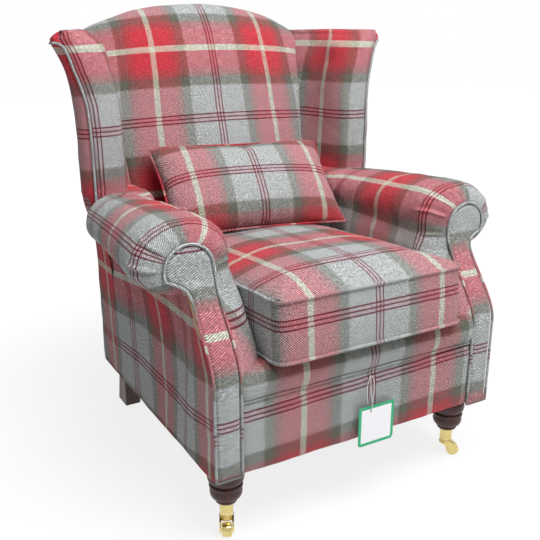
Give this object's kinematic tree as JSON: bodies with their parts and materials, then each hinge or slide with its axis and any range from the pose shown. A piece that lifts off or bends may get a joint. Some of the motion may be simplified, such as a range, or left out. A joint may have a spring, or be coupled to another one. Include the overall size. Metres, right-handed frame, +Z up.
{
  "type": "fireside chair",
  "caption": "Winged fireside chair with scroll arms, tartan twill cover, loose boxed seat cushion and lumbar cushion, turned front legs on brass castors and a bare swing tag.",
  "frame": {"origin": "on the floor, under the centre of the bounding box of the chair without its tag and string", "axes": "+Z up, the sitter faces -Y, +X is the left side of the sitter"},
  "size_m": [0.9002, 0.8929, 1.0558],
  "materials": {
    "tartan_twill": "woven twill, matte",
    "piping": "twill covered cord",
    "mahogany": "stained, satin lacquer",
    "beech": "sawn, unfinished",
    "brass": "polished",
    "steel": "bright wire",
    "jute": "coarse weave",
    "deck_felt": "felt",
    "dust_cloth": "non-woven",
    "wadding": "soft fibre",
    "zip": "woven tape",
    "card": "smooth card",
    "string": "twisted thread"
  },
  "bodies": {
    "frame": {"rear_post_left": "mahogany", "rear_post_right": "mahogany", "front_post_left": "beech", "front_post_right": "beech", "seat_rail_front": "beech", "seat_rail_back": "beech", "seat_rail_left": "beech", "seat_rail_right": "beech", "corner_blocks": "beech", "arm_rail_left": "beech", "arm_rail_right": "beech", "tack_rails": "beech", "lower_back_rail": "beech", "crest_rail": "beech", "wing_frame_left": "beech", "wing_frame_right": "beech", "seat_springs": "steel", "seat_hessian": "jute", "seat_deck": "deck_felt", "front_lip": "tartan_twill", "back_webbing": "jute", "inside_back": "tartan_twill", "outside_back": "tartan_twill", "wing_left": "tartan_twill", "wing_right": "tartan_twill", "wing_piping_left": "piping", "wing_piping_right": "piping", "arm_left": "tartan_twill", "arm_right": "tartan_twill", "outside_arm_left": "tartan_twill", "outside_arm_right": "tartan_twill", "facing_board_left": "beech", "facing_board_right": "beech", "facing_left": "tartan_twill", "facing_right": "tartan_twill", "facing_piping_left": "piping", "facing_piping_right": "piping", "apron": "tartan_twill", "apron_piping": "piping", "dust_cover": "dust_cloth", "front_leg_left": "mahogany", "front_leg_right": "mahogany", "leg_bolts": "steel", "castor_cup_left": "brass", "castor_cup_right": "brass", "tag_pin": "steel"},
    "castor_left": {"castor_horn_left": "brass", "castor_axle_left": "brass"},
    "castor_wheel_left": {"castor_wheel_left": "brass"},
    "castor_right": {"castor_horn_right": "brass", "castor_axle_right": "brass"},
    "castor_wheel_right": {"castor_wheel_right": "brass"},
    "seat_cushion": {"seat_cushion_cover": "tartan_twill", "seat_cushion_filling": "wadding", "seat_cushion_piping": "piping", "seat_cushion_zip": "zip"},
    "lumbar_cushion": {"lumbar_cushion": "tartan_twill", "lumbar_piping": "piping"},
    "tag": {"swing_tag": "card", "tag_string": "string"}
  },
  "joints": [
    {"name": "castor_left_swivel", "type": "hinge", "parent": "frame", "child": "castor_left", "pos_m": [-0.299, -0.35, 0.037], "axis": [0, 0, 1], "continuous": true},
    {"name": "castor_left_roll", "type": "hinge", "parent": "castor_left", "child": "castor_wheel_left", "pos_m": [-0.30667, -0.36573, 0.015], "axis": [0.8988, -0.4384, 0], "continuous": true},
    {"name": "castor_right_swivel", "type": "hinge", "parent": "frame", "child": "castor_right", "pos_m": [0.299, -0.35, 0.037], "axis": [0, 0, 1], "continuous": true},
    {"name": "castor_right_roll", "type": "hinge", "parent": "castor_right", "child": "castor_wheel_right", "pos_m": [0.31416, -0.35875, 0.015], "axis": [0.5, 0.866, 0], "continuous": true},
    {"name": "seat_cushion_slide", "type": "slide", "parent": "frame", "child": "seat_cushion", "axis": [0, -0.9976, 0.0698], "range_m": [0, 0.25]},
    {"name": "lumbar_cushion_lift", "type": "slide", "parent": "frame", "child": "lumbar_cushion", "axis": [0, 0, 1], "range_m": [0, 0.25]},
    {"name": "tag_swing", "type": "hinge", "parent": "frame", "child": "tag", "pos_m": [0, -0.424, 0.316], "axis": [0, 1, 0], "range_deg": [-25, 25]}
  ]
}
